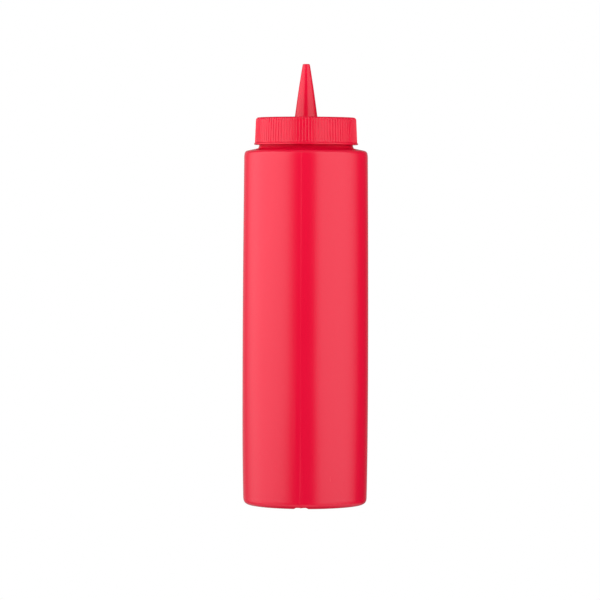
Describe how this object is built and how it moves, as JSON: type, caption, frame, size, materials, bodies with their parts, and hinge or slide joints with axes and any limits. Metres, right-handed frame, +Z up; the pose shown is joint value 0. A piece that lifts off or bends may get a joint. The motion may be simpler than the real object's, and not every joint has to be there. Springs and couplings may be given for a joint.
{
  "type": "squeeze bottle",
  "caption": "Opaque squeeze bottle with a straight round barrel, narrow shoulder, ribbed screw cap and cone nozzle.",
  "frame": {"origin": "centre of the ring the bottle stands on, at floor level", "axes": "+Z up along the bottle's axis, from the base to the nozzle; -Y towards the front, where the picture was taken from; +X to the right seen from the front"},
  "size_m": [0.0708, 0.071, 0.247],
  "materials": {
    "bottle": "satin red blow-moulded polyethylene",
    "cap": "satin red injection-moulded polyethylene"
  },
  "bodies": {
    "root": {"bottle": "bottle", "cap": "cap"}
  },
  "joints": []
}
